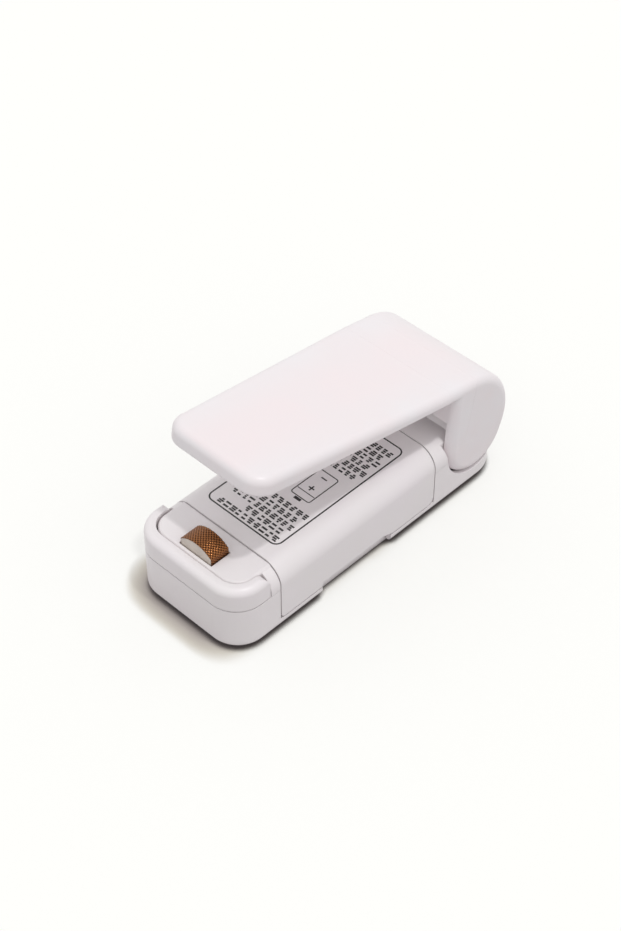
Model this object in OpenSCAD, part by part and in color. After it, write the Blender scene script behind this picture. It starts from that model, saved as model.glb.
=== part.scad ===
// Hand-held heat sealer for snack bags: a hinged lever presses a pad on a small heated strip.
// Origin: middle of the underside. X is the width, -Y the heated nose, +Z up. Sizes are in mm.

/* [Body] */
// width of the body
body_width = 38; // [36:0.5:44]
// length of the lower housing
body_length = 100; // [96:1:120]
// height of the joint between lower and upper housings
parting_height = 14.1; // [13:0.1:15]
// height of the battery cover's top
body_height = 21.1; // [20.7:0.1:23]
// plan radius of the nose corners
nose_radius = 8.5; // [7:0.5:10]
// plan radius of the tail corners
tail_radius = 10; // [8:0.5:12]
// rounding of the lower edge
foot_radius = 1.5; // [0.5:0.25:2]
// height of the base panel that the body stands on
foot_lift = 1.1; // [0.6:0.1:1.4]
// how far the base panel stands back from the body's sides
foot_inset = 2.2; // [2.1:0.1:4]
// rounding of the upper shoulders
shoulder_radius = 6; // [4:0.5:7]
// thickness of the moulded walls
wall = 1.8; // [1.4:0.1:2.2]
// gap at the seams between pieces
seam_gap = 0.3; // [0.2:0.05:0.5]

/* [Battery bay] */
// distance from the nose to the cover's front edge
cover_front = 15.4; // [15:0.2:18]
// length of the battery cover
cover_length = 56.4; // [56:0.2:60]
// thickness of the cover
cover_wall = 1.6; // [1.2:0.1:2]
// height of the cover's lower edge
cover_foot = 3.7; // [2.9:0.1:4]
// diameter of one cell
cell_diameter = 14.5; // [13.5:0.1:14.5]
// length of one cell over its nub
cell_length = 50.5; // [49:0.1:50.5]
// distance between the middles of the two cells
cell_pitch = 15.2; // [15:0.1:15.4]
// wire thickness of the cell springs
coil_wire = 0.6; // [0.4:0.05:0.7]
// turns of a cell spring
coil_turns = 3; // [2:0.5:3]

/* [Heater] */
// width of the heated block across the body
heater_width = 10.6; // [9:0.2:11]
// length of the heated block along the body
heater_length = 5.9; // [5:0.1:6.2]
// distance from the nose to the heated block
heater_front = 4.9; // [4.8:0.1:5.2]
// height of the deck round the block over the hinge axis
deck_over_hinge = 4.2; // [4:0.1:4.4]
// rise of the block's crown over the deck
heater_rise = 3.6; // [3:0.1:3.8]
// thickness of the heated ribbon
ribbon_thick = 0.15; // [0.1:0.01:0.2]
// width of the heated ribbon
ribbon_width = 3; // [2:0.1:4]
// thickness of the woven release cloth
cloth_thick = 0.2; // [0.15:0.01:0.25]

/* [Guard] */
// thickness of the guard band
guard_wall = 3; // [2.6:0.1:3.2]
// length of the guard's arms from the nose
guard_length = 11.7; // [11:0.1:12]
// rounding at the ends of the guard's arms
guard_end = 2.6; // [1.5:0.1:4]
// travel of the guard when it is lifted
guard_travel = 3.2; // [2:0.1:3.4]

/* [Lever] */
// height of the hinge axis
hinge_height = 16.6; // [16:0.1:17.2]
// distance from the tail to the hinge axis
hinge_from_tail = 11.75; // [11.5:0.05:12.5]
// radius of the knuckle
knuckle_radius = 11; // [10.6:0.1:11.2]
// width of the lever's leg
leg_width = 38.8; // [38:0.2:40]
// forward lean of the leg's front face
front_lean = 6; // [0:0.5:8]
// height of the lever's top over the hinge axis
lever_rise = 20.3; // [19:0.1:21]
// distance from the nose to the lever's tip, with the top level
tip_from_nose = 6.3; // [6:0.1:7]
// width of the lever at its tip
tip_width = 32.6; // [30:0.2:36]
// depth of the lever's rim at the tip
tip_depth = 5.6; // [5:0.1:6.4]
// depth of the lever's rim at the leg
root_depth = 3.7; // [3.4:0.1:5]
// plan radius of the tip's corners
tip_radius = 6; // [5:0.5:9]
// rounding of the lever's upper edges
lever_edge = 2.4; // [1:0.1:2.4]
// rounding of the rim's lower edge
rim_edge = 1.2; // [0.4:0.1:1.2]
// radius of the bend at the back of the lever
bend_radius = 17; // [15:0.1:17.4]
// how far the lever's back stands behind its knuckle
back_reach = 0.5; // [0.3:0.1:1.4]
// thickness of the lever's skin
lever_wall = 1.8; // [1.6:0.1:2]
// tilt of the open lever
open_angle = 10.3; // [8:0.1:12]
// tilt of the closed lever below level
shut_angle = 4; // [3.6:0.1:4.2]
// radius of the hinge pin
pin_radius = 1.5; // [1.2:0.05:2]
// running clearance of the pin in the housing
pin_clearance = 0.05; // [0.01:0.01:0.1]

/* [Hidden] */
$fn = 64;
white = [0.95, 0.93, 0.94];
steel = [0.72, 0.72, 0.74];
brass = [0.79, 0.63, 0.32];
nose = -body_length / 2;
tail = body_length / 2;
half = body_width / 2;
seat = 0.05;
hair = 0.02;
bite = 0.3;
move_gap = 0.4;
cover_a = nose + cover_front;
cover_b = cover_a + cover_length;
bay_a = cover_a + 0.6;
bay_b = cover_b - 0.6;
skirt_in = half - cover_wall;
bay_wall_out = skirt_in - seam_gap;
bay_half = bay_wall_out - 1.6;
floor_top = foot_lift + 1.4;
part_wall = 1.6;
hinge_y = tail - hinge_from_tail;
deck = hinge_height + deck_over_hinge;
heater_a = nose + heater_front;
heater_b = heater_a + heater_length;
heater_mid = (heater_a + heater_b) / 2;
arch_low = deck + heater_rise - 2;
arch_top = deck + heater_rise;
arch_radius = (heater_width * heater_width / 4 + 4) / 4;
arch_z = arch_top - arch_radius;
groove = ribbon_thick + 0.08;
strip_foot = deck - 4.1;
terminal_z = deck - 4.3;
cloth_in = arch_radius + 0.05;
cloth_crown = arch_z + cloth_in + cloth_thick;
cheek = 2.1;
drum_half = half - cheek - move_gap;
shell_in = knuckle_radius - lever_wall;
drum_radius = shell_in - move_gap;
sweep_radius = knuckle_radius + move_gap;
swing = open_angle + shut_angle;
tip_y = nose + tip_from_nose - hinge_y;
root_y = -15.6;
tip_half = tip_width / 2;
tip_low = lever_rise - tip_depth;
root_low = lever_rise - root_depth;
root_fillet = 1.2;
leg_half = leg_width / 2;
corner_y = tip_y + tip_radius;
rim_tilt = atan((root_low - tip_low) / (root_y - corner_y));
taper = atan((leg_half - tip_half) / (root_y - tip_y));
side_tilt = atan(cos(taper) * tan(rim_tilt));
corner_x = (leg_half * cos(taper) - tip_radius + (corner_y - root_y) * sin(taper)) / cos(taper);
strip_length = (leg_half - corner_x) * sin(taper) + (root_y - corner_y) * cos(taper);
side_in_x = leg_half - tip_radius * cos(taper);
pad_plane = cloth_crown + 0.15 - hinge_height;
pad_a = tip_y + lever_wall + 0.15;
pad_half = 8;
pad_b = pad_a + 5.6;
bend_y = knuckle_radius + back_reach - bend_radius;
bend_z = lever_rise - bend_radius;
back_dip = 30;
leg_height = lever_rise - lever_edge - 0.06;
root_corner = -(knuckle_radius + root_low * sin(front_lean)) / cos(front_lean);
tail_drop = 1.5;
liner_a = tip_y + 10.6;
liner_b = root_y - 4.2;
finger_y = hinge_y - knuckle_radius * cos(open_angle) + 1.1;
cell_x = cell_pitch / 2;
cell_r = cell_diameter / 2;
cell_z = floor_top + 0.35 + cell_r;
plate_thick = 0.4;
nub_front = bay_a + plate_thick + 2 * seat;
nub_rear = bay_b - plate_thick - 2 * seat;
coil_room = bay_b - bay_a - 2 * plate_thick - cell_length - 4 * seat;
coil_pitch = (coil_room - coil_wire - 2 * seat) / coil_turns;
front_boss = [12, nose + 9];
rear_boss = [12, cover_b + 3.6];
post_x = 12.2;
spring_r = 3.2;
spring_wire = 0.8;
spring_turns = 4;
spring_pitch = 1.3;
liner_screw = [liner_a + 8, liner_b - 8];
echo(cell_spring_gap = coil_pitch - coil_wire, return_spring_gap = spring_pitch - spring_wire);
echo(lever_travel = swing, pad_over_cloth = 0.15, cloth_crown = cloth_crown);

// plan outline with rounded front and rear corners
module plan(w, a, b, rf, rr) {
  translate([-w / 2, a + rf]) square([w, b - a - rf - rr]);
  if (rf > 0) {
    translate([-w / 2 + rf, a]) square([w - 2 * rf, rf + 0.5]);
    for (s = [-1, 1]) translate([s * (w / 2 - rf), a + rf]) circle(rf);
  }
  if (rr > 0) {
    translate([-w / 2 + rr, b - rr - 0.5]) square([w - 2 * rr, rr + 0.5]);
    for (s = [-1, 1]) translate([s * (w / 2 - rr), b - rr]) circle(rr);
  }
}

// what a rounded corner leaves of a square one, for cutting
module corner_cut(r) {
  difference() {
    translate([0, 0]) square(r + 1);
    circle(r);
  }
}

// half section from the middle to an edge, with its lower and upper corner rounded
module edge_section(w, z0, z1, rb, rt) {
  difference() {
    translate([0, z0]) square([w, z1 - z0]);
    if (rt > 0) translate([w - rt, z1 - rt]) corner_cut(rt);
    if (rb > 0) translate([w - rb, z0 + rb]) mirror([0, 1]) corner_cut(rb);
  }
}

module full_section(w, z0, z1, rb, rt) {
  edge_section(w / 2, z0, z1, rb, rt);
  mirror([1, 0]) edge_section(w / 2, z0, z1, rb, rt);
}

// stands a section drawn in X and Z up and runs it along Y
module along_y(a, b) {
  translate([0, b, 0]) rotate([90, 0, 0]) linear_extrude(b - a) children();
}

// runs an outline drawn in Y and Z along X
module along_x(a, b) {
  translate([a, 0, 0]) rotate([90, 0, 90]) linear_extrude(b - a) children();
}

// block with plan corners and rounded lower and upper edges
module slab(w, a, b, rf, rr, z0, z1, rb, rt) {
  along_y(a + rf, b - rr) full_section(w, z0, z1, rb, rt);
  if (rf > 0) {
    along_x(-w / 2 + rf, w / 2 - rf) translate([a + rf, 0]) mirror([1, 0]) edge_section(rf, z0, z1, rb, rt);
    translate([w / 2 - rf, a + rf, 0]) rotate([0, 0, -90]) rotate_extrude(angle = 90) edge_section(rf, z0,
      z1, rb, rt);
    translate([-w / 2 + rf, a + rf, 0]) rotate([0, 0, 180]) rotate_extrude(angle = 90) edge_section(rf, z0,
      z1, rb, rt);
  }
  if (rr > 0) {
    along_x(-w / 2 + rr, w / 2 - rr) translate([b - rr, 0]) edge_section(rr, z0, z1, rb, rt);
    translate([w / 2 - rr, b - rr, 0]) rotate_extrude(angle = 90) edge_section(rr, z0, z1, rb, rt);
    translate([-w / 2 + rr, b - rr, 0]) rotate([0, 0, 90]) rotate_extrude(angle = 90) edge_section(rr, z0,
      z1, rb, rt);
  }
}

module prism(w, a, b, rf, rr, z0, z1) {
  translate([0, 0, z0]) linear_extrude(z1 - z0) plan(w, a, b, rf, rr);
}

module box(x0, x1, y0, y1, z0, z1) {
  translate([x0, y0, z0]) cube([x1 - x0, y1 - y0, z1 - z0]);
}

module disc_x(r, x0, x1) {
  translate([x0, hinge_y, hinge_height]) rotate([0, 90, 0]) cylinder(r = r, h = x1 - x0);
}

// room for a cheek of the lever over its whole travel, on both sides
module cheek_room() {
  lean = sweep_radius + 0.1 + 12 * tan(shut_angle + front_lean);
  for (s = [0, 1]) mirror([s, 0, 0]) {
    disc_x(sweep_radius, drum_half + 0.1, half + 1);
    along_x(drum_half + 0.1, half + 1) translate([hinge_y, hinge_height])
      polygon([[-sweep_radius - 0.1, 0], [-lean, 12], [14, 12], [14, 0]]);
  }
}

// room behind the knuckle for the lever's rounded back
module back_room() {
  along_x(-half - 1, half + 1) intersection() {
    translate([hinge_y, hinge_height]) rotate(-open_angle) translate([bend_y, bend_z])
      circle(bend_radius + move_gap);
    translate([hinge_y + 4, 0]) square([20, parting_height + 1]);
  }
}

// tube along a list of points, its rings turned from a fixed reference direction
function unit(v) = v / norm(v);
function tangent(p, i) = unit(p[min(i + 1, len(p) - 1)] - p[max(i - 1, 0)]);
module tube(path, r, ref, sides = 6) {
  n = len(path);
  rings = [for (i = [0:n - 1]) let (t = tangent(path, i), u = unit(cross(t, ref)), v = cross(t, u))
    for (k = [0:sides - 1]) path[i] + r * (cos(360 * k / sides) * u + sin(360 * k / sides) * v)];
  skin = [for (i = [0:n - 2], k = [0:sides - 1]) let (a = i * sides + k, b = i * sides + (k + 1) % sides)
    each [[a, b, b + sides], [a, b + sides, a + sides]]];
  polyhedron(rings, concat([[for (k = [sides - 1:-1:0]) k]], skin, [[for (k = [0:sides - 1]) (n - 1)
    * sides + k]]),
    convexity = 8);
}

module screw(at, z0, z1, head, shank) {
  translate([at[0], at[1], z0]) difference() {
    union() {
      cylinder(r1 = head - 0.3, r2 = head, h = 0.4);
      translate([0, 0, 0.4]) cylinder(r = head, h = 1.2);
      cylinder(r = shank, h = z1 - z0);
    }
    translate([-head * 0.6, -0.22, -0.1]) cube([head * 1.2, 0.44, 0.9]);
    translate([-0.22, -head * 0.6, -0.1]) cube([0.44, head * 1.2, 0.9]);
  }
}

module lower_housing() {
  color(white) difference() {
    union() {
      difference() {
        union() {
          slab(body_width, nose, tail, nose_radius, tail_radius, foot_lift, parting_height, foot_radius, 0);
          prism(body_width - 2 * foot_inset, nose + foot_inset, tail - foot_inset, nose_radius - foot_inset,
            tail_radius - foot_inset, 0, foot_lift + 0.5);
        }
        prism(2 * half - 2 * wall, nose + wall, bay_a - part_wall, nose_radius - wall, 0, floor_top,
          parting_height + 1);
        prism(2 * half - 2 * wall, bay_b + part_wall, tail - wall, 0, tail_radius - wall, floor_top,
          parting_height + 1);
        box(-bay_half, bay_half, bay_a, bay_b, floor_top, parting_height + 1);
        for (s = [-1, 1]) {
          box(s > 0 ? bay_wall_out : -half - 1, s > 0 ? half + 1 : -bay_wall_out, cover_a - seam_gap,
            cover_b + seam_gap,
            cover_foot - seam_gap, parting_height + 1);
          box(s > 0 ? bay_wall_out : -half - 1, s > 0 ? half + 1 : -bay_wall_out, cover_a + 14.6,
            cover_a + 40,
            foot_lift - 1, cover_foot);
        }
        disc_x(sweep_radius, -half, half);
        back_room();
        box(-half - 1, half + 1, hinge_y + 4, tail + 1, parting_height - tail_drop, parting_height + 1);
      }
      intersection() {
        for (s = [-1, 1]) along_x(s * post_x - 1.5, s * post_x + 1.5) {
          translate([hinge_y, hinge_height]) circle(4.2);
          translate([hinge_y - 4.2, floor_top - 0.2]) square([8.4, hinge_height - floor_top + 0.2]);
        }
        box(-half, half, hinge_y - 6, hinge_y + 6, 0, 30);
      }
      for (s = [-1, 1]) {
        translate([s * front_boss[0], front_boss[1], 0.3]) cylinder(r = 3.2, h = parting_height - 0.4);
        translate([s * rear_boss[0], rear_boss[1], 0.3]) cylinder(r = 3.2, h = parting_height - 0.4);
        box(s > 0 ? half - 4.2 : -half + wall - 0.2, s > 0 ? half - wall + 0.2 : -half + 4.2,
          nose + 9.9 - 4.3, nose + 9.9 + 1.1, floor_top - 0.2, parting_height - 0.1);
      }
      box(-4, 4, heater_mid - 2.6, heater_mid + 2.6, floor_top - 0.2, parting_height + 0.6);
      for (y = [bay_a + 16, bay_b - 15]) difference() {
        box(-bay_half - 0.1, bay_half + 0.1, y - 0.6, y + 0.6, floor_top - 0.2, floor_top + 4);
        for (s = [-1, 1]) translate([s * cell_x, y - 2, cell_z]) rotate([-90, 0, 0])
          cylinder(r = cell_r + 0.2, h = 4);
      }
    }
    cheek_room();
    for (s = [-1, 1]) {
      translate([s * front_boss[0], front_boss[1], -1]) cylinder(r = 1.4, h = 20);
      translate([s * rear_boss[0], rear_boss[1], -1]) cylinder(r = 1.4, h = 20);
      translate([s * front_boss[0], front_boss[1], -1]) cylinder(r = 2.6, h = 3.4);
      translate([s * rear_boss[0], rear_boss[1], -1]) cylinder(r = 2.6, h = 3.4);
      box(s * (half - 2.35) - 0.8, s * (half - 2.35) + 0.8, nose + 5.9, nose + 10.7, 4, parting_height + 1);
      box(s * cell_x - 1.2, s * cell_x + 1.2, bay_a - 3, bay_a + 1, 10.4, 11.6);
    }
    disc_x(pin_radius + pin_clearance, -half, half);
  }
}

module front_housing() {
  in_half = half - guard_wall - seam_gap;
  collar_a = nose + guard_length + seam_gap;
  collar_b = cover_a - seam_gap;
  low = parting_height + seat;
  color(white) difference() {
    union() {
      slab(2 * in_half, nose + guard_wall + 0.2 + seam_gap, collar_b, nose_radius - guard_wall, 0, low,
        deck, 0, 0.8);
      along_y(collar_a, collar_b) full_section(body_width, low, deck, 0, shoulder_radius - 0.3);
    }
    difference() {
      prism(2 * in_half - 2 * wall, nose + guard_wall + wall + seam_gap, collar_b - 1.2,
        nose_radius - guard_wall - wall,
        0, low - 1, deck - wall);
      for (s = [-1, 1]) translate([s * front_boss[0], front_boss[1], low]) cylinder(r = 2.7, h = 10);
    }
    box(-heater_width / 2 - 0.45, heater_width / 2 + 0.45, heater_a - 0.3, heater_b + 0.3, low, deck + 2);
    for (s = [-1, 1]) {
      translate([s * front_boss[0], front_boss[1], low - 1]) cylinder(r = 1.15, h = 5.2);
      box(s * cell_x - 1.4, s * cell_x + 1.4, collar_b - 2, collar_b + 1, low - 1, low + 1.2);
    }
  }
}

module rear_housing() {
  low = parting_height + seat;
  front = cover_b + seam_gap;
  color(white) difference() {
    union() {
      along_y(front, hinge_y - 4) full_section(body_width, low, body_height, 0, shoulder_radius);
      intersection() {
        disc_x(drum_radius, -drum_half, drum_half);
        box(-half, half, hinge_y - 20, hinge_y + 20, low, 40);
      }
    }
    difference() {
      union() {
        along_y(front + 1.6, hinge_y) full_section(2 * drum_half - 3, low - 1, body_height - wall, 0, 3);
        disc_x(drum_radius - 1.5, -drum_half + 1.5, drum_half - 1.5);
      }
      for (s = [-1, 1]) translate([s * rear_boss[0], rear_boss[1], low]) cylinder(r = 2.7, h = 10);
    }
    cheek_room();
    disc_x(pin_radius + 0.3, -half, half);
    box(-half, half, hinge_y - pin_radius - 0.3, hinge_y + pin_radius + 0.3, low - 1, hinge_height);
    box(-2.4, 2.4, finger_y - 2, finger_y + 1.6, body_height - wall - 1, body_height + 6);
    box(-4.6, 4.6, front - 1, front + 2, low + 2.6, body_height - 2);
    for (s = [-1, 1]) translate([s * rear_boss[0], rear_boss[1], low - 1]) cylinder(r = 1.15, h = 5.2);
    translate([0, hinge_y, hinge_height]) box(1.5, 3.9, 2.2, 12, 1, 9);
  }
}

module safety_guard() {
  low = parting_height + seam_gap;
  end = nose + guard_length;
  color(white) difference() {
    union() {
      difference() {
        slab(body_width, nose, end, nose_radius, 0, low, body_height, 0, 2);
        prism(body_width - 2 * guard_wall, nose + guard_wall + 0.2, end + 1, nose_radius - guard_wall, 0,
          low - 1,
          body_height + 1);
      }
      for (s = [-1, 1]) box(s * (half - 2.35) - 0.5, s * (half - 2.35) + 0.5, nose + 6.2, nose + 10.4,
        low - 6.6, low + 0.4);
    }
    along_x(-half - 1, half + 1) translate([end - guard_end, body_height - guard_end]) corner_cut(guard_end);
  }
}

module battery_cover() {
  color(white) difference() {
    union() {
      along_y(cover_a, cover_b) difference() {
        full_section(body_width, cover_foot, body_height, 0, shoulder_radius);
        full_section(2 * skirt_in, cover_foot - 1, body_height - cover_wall, 0, shoulder_radius - cover_wall);
      }
      for (y = [bay_a + 10, bay_b - 10]) box(-3, 3, y - 0.7, y + 0.7, cell_z + cell_r - 1.6,
        body_height - cover_wall + 0.2);
    }
    along_x(-half - 1, half + 1) {
      translate([cover_b - 2.3, cover_foot + 2.3]) mirror([0, 1]) corner_cut(2.3);
      translate([cover_a + 1.3, cover_foot + 1.3]) mirror([1, 0]) mirror([0, 1]) corner_cut(1.3);
      polygon([[cover_a + 14.3, cover_foot - 1], [cover_a + 14.8, cover_foot + 1.3], [cover_a + 37,
        cover_foot + 1.3],
        [cover_a + 40.8, cover_foot], [cover_a + 40.8, cover_foot - 1]]);
    }
    for (y = [bay_a + 10, bay_b - 10]) for (s = [-1, 1]) translate([s * cell_x, y - 2, cell_z])
      rotate([-90, 0, 0]) cylinder(r = cell_r + 0.35, h = 4);
  }
}

module heater_block() {
  low = parting_height + 0.65;
  color([0.74, 0.74, 0.73]) difference() {
    union() {
      along_y(heater_a, heater_b) intersection() {
        translate([-heater_width / 2, low]) square([heater_width, arch_top - low + 1]);
        translate([0, arch_z]) circle(arch_radius);
      }
      box(-heater_width / 2, heater_width / 2, heater_a, heater_b, low, arch_low - 1);
    }
    along_y(heater_mid - ribbon_width / 2 - 0.1, heater_mid + ribbon_width / 2 + 0.1) difference() {
      translate([-heater_width / 2 - 1, strip_foot - 0.33]) square([heater_width + 2,
        arch_top - strip_foot + 2]);
      intersection() {
        translate([-heater_width / 2 + groove, strip_foot - 1]) square([heater_width - 2 * groove,
          arch_top - strip_foot + 3]);
        translate([0, arch_z]) circle(arch_radius - groove);
      }
    }
  }
}

// a band that runs up one side of the block, over its crown and down the other
module arched_band(inner, side, thick, foot) {
  difference() {
    intersection() {
      translate([-side - thick, foot]) square([2 * side + 2 * thick, 30]);
      union() {
        translate([0, arch_z]) circle(inner + thick);
        translate([-side - thick, foot]) square([2 * side + 2 * thick, arch_low - 0.4 - foot]);
      }
    }
    intersection() {
      translate([-side, foot - 1]) square([2 * side, 30]);
      union() {
        translate([0, arch_z]) circle(inner);
        translate([-side, foot - 1]) square([2 * side, arch_low - 0.4 - foot + 1]);
      }
    }
  }
}

module heating_strip() {
  color([0.55, 0.52, 0.5]) along_y(heater_mid - ribbon_width / 2, heater_mid + ribbon_width / 2)
    arched_band(arch_radius - groove + 0.03, heater_width / 2 - groove + 0.03, ribbon_thick, strip_foot);
}

module release_cloth() {
  color([0.55, 0.35, 0.2]) along_y(heater_a + 0.15, heater_b - 0.15)
    arched_band(cloth_in, heater_width / 2 + 0.05, cloth_thick, deck - 2.4);
}

module terminal(s) {
  x0 = heater_width / 2 + 0.02;
  color(brass) scale([s, 1, 1]) difference() {
    box(x0, x0 + 1.5, heater_mid - 2, heater_mid + 2, terminal_z - 1.2, terminal_z + 1.5);
    translate([x0 + 0.9, heater_mid + 3, terminal_z]) rotate([90, 0, 0]) cylinder(r = 0.5, h = 6, $fn = 24);
  }
}

module left_terminal() {
  terminal(-1);
}

module right_terminal() {
  terminal(1);
}

// insulated lead from a contact's tab to a terminal
function lead_path(s) = [for (i = [0:14]) let (t = i / 14, q = 1 - t,
    a = [s * cell_x, bay_a - 3.4 - 0.42 - 0.1, 11], d = [s * (heater_width / 2 + 0.92), heater_mid + 2.1,
      terminal_z])
  q * q * q * a + 3 * q * q * t * (a + [0, -0.6, 1.6]) + 3 * q * t * t * (d + [0, 2, -0.3]) + t * t * t * d];

module left_lead() {
  color([0.12, 0.12, 0.13]) tube(lead_path(-1), 0.42, [1, 0, 0]);
}

module right_lead() {
  color([0.7, 0.1, 0.1]) tube(lead_path(1), 0.42, [1, 0, 0]);
}

// cell along +Y, with its nub towards -Y
module cell() {
  rotate([-90, 0, 0]) rotate_extrude() difference() {
    union() {
      translate([0, 1.4]) square([cell_r, cell_length - 1.4]);
      square([2.7, 2]);
    }
    translate([cell_r - 0.4, 1.4 - 0.01]) polygon([[0.01, 0], [1, 0], [1, 0.8], [0.4, 0.4]]);
    translate([cell_r - 0.4, cell_length + 0.01]) polygon([[0.01, 0], [1, 0], [1, -0.8], [0.4, -0.4]]);
    translate([3.4, 1.3]) square([2.9, 0.35]);
    translate([5.4, cell_length - 0.25]) square([0.6, 1]);
  }
}

module right_cell() {
  color([0.3, 0.33, 0.36]) translate([cell_x, nub_front, cell_z]) cell();
}

module left_cell() {
  color([0.3, 0.33, 0.36]) translate([-cell_x, nub_rear, cell_z]) rotate([0, 0, 180]) cell();
}

module front_contact(s) {
  color(steel) {
    box(s > 0 ? 1.2 : -bay_half + 0.6, s > 0 ? bay_half - 0.6 : -1.2, bay_a + seat,
      bay_a + seat + plate_thick,
      floor_top + 1.2, parting_height + 1.5);
    box(s * cell_x - 0.8, s * cell_x + 0.8, bay_a - 3.4, bay_a + seat + 0.1, 10.8, 11.2);
  }
}

module front_plate_contact() {
  front_contact(1);
}

module front_spring_contact() {
  front_contact(-1);
}

module rear_contact(s, top) {
  y0 = bay_b - seat - plate_thick;
  color(steel) {
    box(s > 0 ? 1.2 : -bay_half + 0.6, s > 0 ? bay_half - 0.6 : -1.2, y0, y0 + plate_thick,
      floor_top + 1.2, parting_height + 1.5);
    box(s > 0 ? 1.2 : -4, s > 0 ? 4 : -1.2, y0, y0 + plate_thick, parting_height + 1.4, top);
    if (s < 0) box(-4, -1.2, y0, finger_y + 1.7, top - 0.3, top);
  }
}

module rear_plate_contact() {
  rear_contact(-1, hinge_height + 0.9);
}

module rear_spring_contact() {
  rear_contact(1, hinge_height + 1.9);
}

module switch_leaf() {
  z = hinge_height + 1.95;
  color([0.72, 0.5, 0.32]) {
    box(-2.2, 4, bay_b - seat - plate_thick, bay_b + 3, z, z + 0.25);
    box(-2.2, 2.2, bay_b + 2.9, finger_y + 1.5, z, z + 0.25);
  }
}

// conical cell spring, its wide end on the contact
function coil_path(x, y0, dir) = [for (i = [0:8 * coil_turns]) let (t = i / (8 * coil_turns),
  a = 360 * coil_turns * t,
    r = 4.6 - 2 * t) [x + r * cos(a), y0 + dir * (coil_wire / 2 + seat + t * coil_pitch * coil_turns),
      cell_z + r * sin(a)]];

module front_coil() {
  color(steel) tube(coil_path(-cell_x, bay_a + seat + plate_thick, 1), coil_wire / 2, [0, 1, 0]);
}

module rear_coil() {
  color(steel) tube(coil_path(cell_x, bay_b - seat - plate_thick, -1), coil_wire / 2, [0, 1, 0]);
}

// torsion spring round the pin: one leg bears on the housing, the other on the lever's back
module return_spring() {
  x0 = -spring_turns * spring_pitch / 2;
  turn = [for (i = [0:8 * spring_turns + 3]) let (a = 200 - 45 * i)
    [x0 + spring_pitch * i / 8, hinge_y + spring_r * cos(a), hinge_height + spring_r * sin(a)]];
  first = turn[0];
  last = turn[len(turn) - 1];
  lead_in = [for (i = [0:2]) first + [-0.02 * (3 - i), -0.36 * (3 - i), -2.2 * (3 - i)]];
  lead_out = [for (i = [1:2]) last + i * [0.02, 2.1, 1.3]];
  color(steel) tube(concat(lead_in, turn, lead_out), spring_wire / 2, [1, 0, 0]);
}

module hinge_pin() {
  color(steel) disc_x(pin_radius, -half + 0.9, half - 0.9);
}

// the lever's own frame: the hinge axis is its origin and its top is level
module lever_frame() {
  translate([0, hinge_y, hinge_height]) rotate([-open_angle, 0, 0]) children();
}

// straight runs lie a hair inside the turned corners they run into, so that the two never share a surface
module plate_solid(low) {
  for (s = [0, 1]) mirror([s, 0, 0]) {
    translate([leg_half, root_y, 0]) rotate([0, 0, -taper]) translate([-tip_radius, bite, 0]) rotate([90,
      0, 0])
      linear_extrude(strip_length + 2 * bite) edge_section(tip_radius - 2 * hair, low,
        lever_rise - 2 * hair, 0, lever_edge);
    translate([corner_x, corner_y, 0]) rotate([0, 0, -90]) rotate_extrude(angle = 90 - taper)
      edge_section(tip_radius, low, lever_rise, 0, lever_edge);
  }
  along_x(-corner_x - bite, corner_x + bite) translate([corner_y, 0]) mirror([1, 0])
    edge_section(tip_radius - hair, low, lever_rise - hair, 0, lever_edge);
  translate([0, 0, low]) linear_extrude(lever_rise - 2 * hair - low)
    polygon([[corner_x + 1, corner_y - 1], [side_in_x + 1, root_y + 1], [-side_in_x - 1, root_y + 1],
      [-corner_x - 1, corner_y - 1]]);
}

// height of the rim's lower edge: level round the tip, then rising to the leg
function rim_at(y) = tip_low + max(0, y - corner_y) * tan(rim_tilt);

// what rounds the rim's lower edge, at the front, at both corners and along both sides
module rim_rounding() {
  in = rim_edge - hair;
  along_x(-corner_x - bite, corner_x + bite) translate([tip_y + in, tip_low + in])
    mirror([1, 0]) mirror([0, 1]) corner_cut(rim_edge);
  for (s = [0, 1]) mirror([s, 0, 0]) {
    translate([corner_x, corner_y, 0]) rotate([0, 0, -90]) rotate_extrude(angle = 90 - taper)
      translate([tip_radius - in, tip_low + in]) mirror([0, 1]) corner_cut(rim_edge);
    translate([leg_half, root_y, root_low]) rotate([0, 0, -taper]) rotate([side_tilt, 0, 0])
      translate([-in, bite, in])
      rotate([90, 0, 0]) linear_extrude(strip_length + 2 * bite) mirror([0, 1]) corner_cut(rim_edge);
  }
}

module lever_solid() {
  difference() {
    plate_solid(12);
    box(-leg_half - 1, leg_half + 1, tip_y - 2, corner_y + 0.1, 8, tip_low);
    translate([0, corner_y, tip_low]) rotate([rim_tilt, 0, 0]) box(-leg_half - 1, leg_half + 1, 0, 90, -12,
      0);
    rim_rounding();
  }
  along_y(root_y, bend_y + bite) full_section(leg_width - 2 * hair, root_low, lever_rise - hair, rim_edge,
    lever_edge);
  translate([0, bend_y, bend_z]) rotate([0, -90, 0]) rotate_extrude(angle = 90 + back_dip)
    leg_turn(bend_radius);
  rotate([0, -90, 0]) rotate([0, 0, 90]) rotate_extrude(angle = 180) leg_turn(knuckle_radius);
  translate([0, 0, -bite]) linear_extrude(bend_z + 2 * bite) leg_plan(knuckle_radius - hair,
    leg_half - hair, knuckle_radius + 4);
  intersection() {
    rotate([front_lean, 0, 0]) translate([0, 0, -bite]) linear_extrude(lever_rise + 4) mirror([0, 1])
      leg_plan(knuckle_radius - hair, leg_half - hair, knuckle_radius - 2);
    box(-leg_half - 1, leg_half + 1, -20, 5, -4, leg_height);
  }
  along_x(-leg_half + lever_edge - 0.5, leg_half - lever_edge + 0.5) difference() {
    translate([root_corner - root_fillet, root_low - root_fillet]) square(root_fillet + 0.6);
    translate([root_corner - root_fillet + 0.17, root_low - root_fillet + 0.05]) circle(root_fillet);
  }
}

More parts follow.
